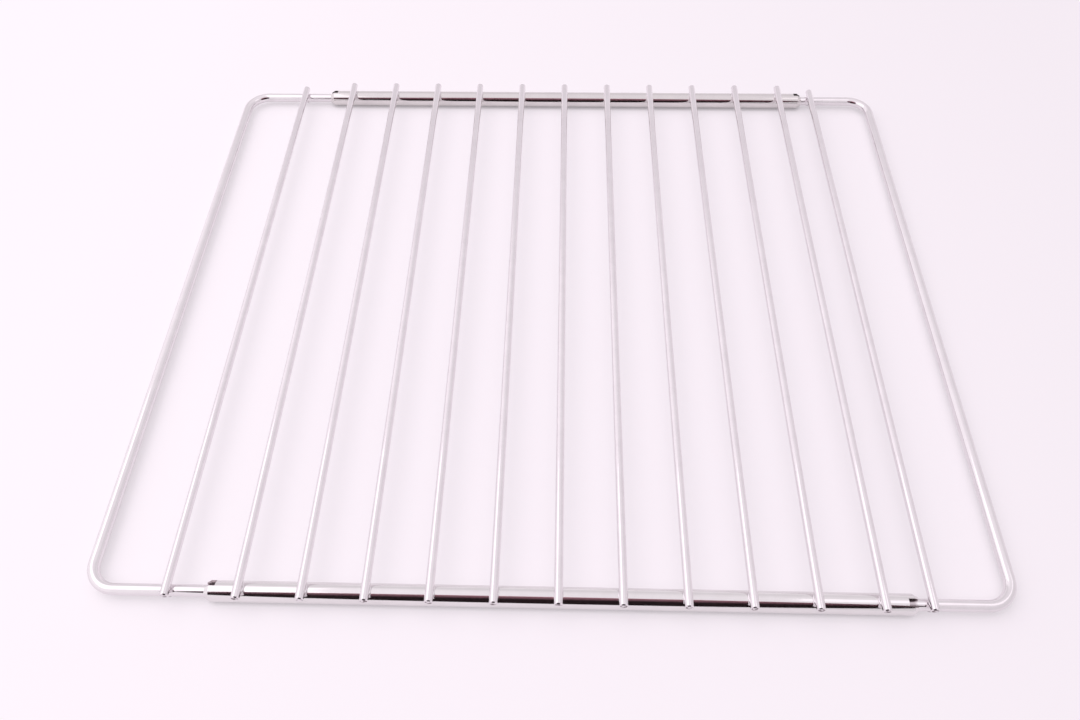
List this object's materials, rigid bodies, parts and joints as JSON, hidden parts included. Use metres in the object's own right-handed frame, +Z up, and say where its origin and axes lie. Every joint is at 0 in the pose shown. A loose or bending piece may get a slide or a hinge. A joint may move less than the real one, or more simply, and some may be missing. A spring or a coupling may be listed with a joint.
{
  "type": "oven shelf rack",
  "caption": "Flat extendable oven shelf of chromed steel: bars welded across two tubes, with a U-shaped wire frame that slides out of the tubes at each end to suit the oven's width.",
  "frame": {"origin": "on the surface the rack lies on, under the middle of its overall length and depth with the frames drawn out as at rest", "axes": "+X along the tubes towards the right frame, +Y along the bars towards the rear tube, +Z up with the welded bars on top"},
  "size_m": [0.3694, 0.314, 0.0116],
  "materials": {
    "chrome_tube": "bright chrome plate on drawn steel tube",
    "chrome_wire": "bright chrome plate on drawn steel wire"
  },
  "bodies": {
    "centre_section": {"front_tube": "chrome_tube", "rear_tube": "chrome_tube", "cross_bar_01": "chrome_wire", "cross_bar_02": "chrome_wire", "cross_bar_03": "chrome_wire", "cross_bar_04": "chrome_wire", "cross_bar_05": "chrome_wire", "cross_bar_06": "chrome_wire", "cross_bar_07": "chrome_wire", "cross_bar_08": "chrome_wire", "cross_bar_09": "chrome_wire", "cross_bar_10": "chrome_wire", "cross_bar_11": "chrome_wire"},
    "left_frame": {"left_frame_wire": "chrome_wire", "left_frame_bar": "chrome_wire"},
    "right_frame": {"right_frame_wire": "chrome_wire", "right_frame_bar": "chrome_wire"}
  },
  "joints": [
    {"name": "left_frame_slide", "type": "slide", "parent": "centre_section", "child": "left_frame", "axis": [-1, 0, 0], "range_m": [-0.0127, 0.0923]},
    {"name": "right_frame_slide", "type": "slide", "parent": "centre_section", "child": "right_frame", "axis": [1, 0, 0], "range_m": [-0.0029, 0.1021]}
  ]
}
